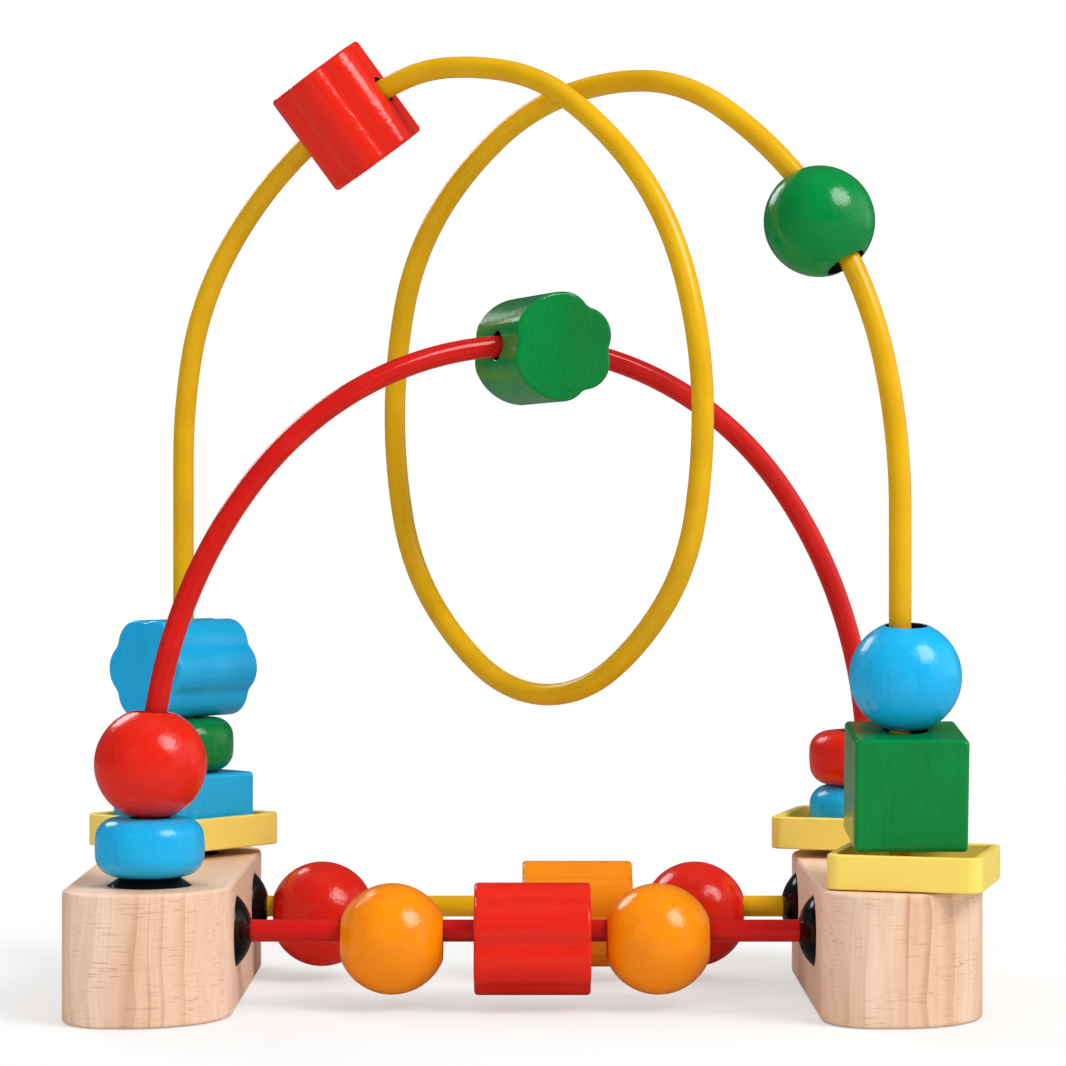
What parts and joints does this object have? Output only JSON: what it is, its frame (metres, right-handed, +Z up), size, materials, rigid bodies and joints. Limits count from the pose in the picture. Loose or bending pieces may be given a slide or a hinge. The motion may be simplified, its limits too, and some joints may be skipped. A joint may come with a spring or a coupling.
{
  "type": "bead maze",
  "caption": "Bead maze: upright end blocks joined by bent sleeved wires and straight bars, with wooden beads and shallow trays that slide and turn on them.",
  "frame": {"origin": "on the ground, half way between the two end blocks", "axes": "+Z up, +X to the right along the bars, front towards -Y"},
  "size_m": [0.2555, 0.1356, 0.2701],
  "materials": {
    "beech": "planed and sanded beech, clear matt lacquer",
    "steel_wire": "drawn spring steel, bare inside its sleeve",
    "yellow_sleeve": "extruded plastic sleeve, satin",
    "red_sleeve": "extruded plastic sleeve, satin",
    "black_plastic": "moulded plastic, glossy",
    "red_lacquer": "turned wood, glossy red lacquer",
    "green_lacquer": "turned or sawn wood, glossy green lacquer",
    "blue_lacquer": "turned or sawn wood, glossy light blue lacquer",
    "orange_lacquer": "turned wood, glossy orange lacquer",
    "pale_yellow_plastic": "moulded plastic, satin"
  },
  "bodies": {
    "base": {"left_block": "beech", "right_block": "beech", "loop_wire_core": "steel_wire", "arch_wire_core": "steel_wire", "front_bar_core": "steel_wire", "rear_bar_core": "steel_wire", "loop_wire_sleeve": "yellow_sleeve", "rear_bar_sleeve": "yellow_sleeve", "arch_wire_sleeve": "red_sleeve", "front_bar_sleeve": "red_sleeve", "grommet_front_left": "black_plastic", "grommet_front_right": "black_plastic", "grommet_rear_left": "black_plastic", "grommet_rear_right": "black_plastic", "bar_cap_front_left": "black_plastic", "bar_cap_front_right": "black_plastic", "bar_cap_rear_left": "black_plastic", "bar_cap_rear_right": "black_plastic"},
    "front_left_red_ball": {"front_left_red_ball": "red_lacquer"},
    "rear_right_red_disc": {"rear_right_red_disc": "red_lacquer"},
    "left_hump_red_flower": {"left_hump_red_flower": "red_lacquer"},
    "front_bar_red_roller": {"front_bar_red_roller": "red_lacquer"},
    "rear_bar_left_red_ball": {"rear_bar_left_red_ball": "red_lacquer"},
    "rear_bar_right_red_ball": {"rear_bar_right_red_ball": "red_lacquer"},
    "rear_left_green_disc": {"rear_left_green_disc": "green_lacquer"},
    "front_right_green_cube": {"front_right_green_cube": "green_lacquer"},
    "arch_green_flower": {"arch_green_flower": "green_lacquer"},
    "right_hump_green_ball": {"right_hump_green_ball": "green_lacquer"},
    "front_left_blue_disc": {"front_left_blue_disc": "blue_lacquer"},
    "rear_left_blue_slab": {"rear_left_blue_slab": "blue_lacquer"},
    "rear_left_blue_flower": {"rear_left_blue_flower": "blue_lacquer"},
    "front_right_blue_ball": {"front_right_blue_ball": "blue_lacquer"},
    "rear_right_blue_disc": {"rear_right_blue_disc": "blue_lacquer"},
    "front_bar_left_orange_ball": {"front_bar_left_orange_ball": "orange_lacquer"},
    "front_bar_right_orange_ball": {"front_bar_right_orange_ball": "orange_lacquer"},
    "rear_bar_orange_roller": {"rear_bar_orange_roller": "orange_lacquer"},
    "rear_left_tray": {"rear_left_tray": "pale_yellow_plastic"},
    "front_right_tray": {"front_right_tray": "pale_yellow_plastic"},
    "rear_right_tray": {"rear_right_tray": "pale_yellow_plastic"}
  },
  "joints": [
    {"name": "front_left_blue_disc_spin", "type": "hinge", "parent": "base", "child": "front_left_blue_disc", "pos_m": [-0.1, -0.042, 0.04525], "axis": [0, 0, 1], "continuous": true},
    {"name": "front_left_red_ball_run", "type": "hinge", "parent": "base", "child": "front_left_red_ball", "pos_m": [0.02257, 0.00948, 0.06], "axis": [-0.3872, 0.922, 0], "range_deg": [0, 28]},
    {"name": "rear_left_tray_slide", "type": "slide", "parent": "base", "child": "rear_left_tray", "axis": [0, 0, 1], "range_m": [0, 0.008]},
    {"name": "rear_left_blue_slab_slide", "type": "slide", "parent": "rear_left_tray", "child": "rear_left_blue_slab", "axis": [0, 0, 1], "range_m": [0, 0.008]},
    {"name": "rear_left_green_disc_slide", "type": "slide", "parent": "rear_left_blue_slab", "child": "rear_left_green_disc", "axis": [0, 0, 1], "range_m": [0, 0.008]},
    {"name": "rear_left_blue_flower_slide", "type": "slide", "parent": "rear_left_green_disc", "child": "rear_left_blue_flower", "axis": [0, 0, 1], "range_m": [0, 0.018]},
    {"name": "front_right_tray_slide", "type": "slide", "parent": "base", "child": "front_right_tray", "axis": [0, 0, 1], "range_m": [0, 0.012]},
    {"name": "front_right_green_cube_slide", "type": "slide", "parent": "front_right_tray", "child": "front_right_green_cube", "axis": [0, 0, 1], "range_m": [0, 0.012]},
    {"name": "front_right_blue_ball_slide", "type": "slide", "parent": "front_right_green_cube", "child": "front_right_blue_ball", "axis": [0, 0, 1], "range_m": [0, 0.01]},
    {"name": "rear_right_tray_spin", "type": "hinge", "parent": "base", "child": "rear_right_tray", "pos_m": [0.096, 0.042, 0.0375], "axis": [0, 0, 1], "continuous": true},
    {"name": "rear_right_blue_disc_spin", "type": "hinge", "parent": "base", "child": "rear_right_blue_disc", "pos_m": [0.0979, 0.042, 0.04705], "axis": [0, 0, 1], "continuous": true},
    {"name": "rear_right_red_disc_run", "type": "hinge", "parent": "base", "child": "rear_right_red_disc", "pos_m": [-0.02257, -0.00948, 0.06], "axis": [0.3872, -0.922, 0], "range_deg": [0, 30]},
    {"name": "arch_green_flower_run", "type": "hinge", "parent": "base", "child": "arch_green_flower", "pos_m": [0, 0, 0.07912], "axis": [0.3872, -0.922, 0], "range_deg": [-38, 40]},
    {"name": "left_hump_red_flower_run", "type": "hinge", "parent": "base", "child": "left_hump_red_flower", "pos_m": [-0.01039, -0.01311, 0.16105], "axis": [0.4818, 0.8643, -0.1444], "range_deg": [-20, 2]},
    {"name": "right_hump_green_ball_run", "type": "hinge", "parent": "base", "child": "right_hump_green_ball", "pos_m": [-0.00639, 0.01076, 0.14952], "axis": [0.4423, 0.8968, 0.0092], "range_deg": [-14, 14]},
    {"name": "front_bar_left_orange_ball_slide", "type": "slide", "parent": "base", "child": "front_bar_left_orange_ball", "axis": [1, 0, 0], "range_m": [-0.0235, 0.0082]},
    {"name": "front_bar_red_roller_spin", "type": "hinge", "parent": "base", "child": "front_bar_red_roller", "pos_m": [0.002, -0.028, 0.0188], "axis": [1, 0, 0], "continuous": true},
    {"name": "front_bar_right_orange_ball_slide", "type": "slide", "parent": "base", "child": "front_bar_right_orange_ball", "axis": [1, 0, 0], "range_m": [-0.0042, 0.0235]},
    {"name": "rear_bar_left_red_ball_slide", "type": "slide", "parent": "base", "child": "rear_bar_left_red_ball", "axis": [1, 0, 0], "range_m": [-0.0012, 0.0435]},
    {"name": "rear_bar_orange_roller_spin", "type": "hinge", "parent": "base", "child": "rear_bar_orange_roller", "pos_m": [0.015, 0.028, 0.0188], "axis": [1, 0, 0], "continuous": true},
    {"name": "rear_bar_right_red_ball_slide", "type": "slide", "parent": "base", "child": "rear_bar_right_red_ball", "axis": [1, 0, 0], "range_m": [-0.0042, 0.0106]}
  ]
}
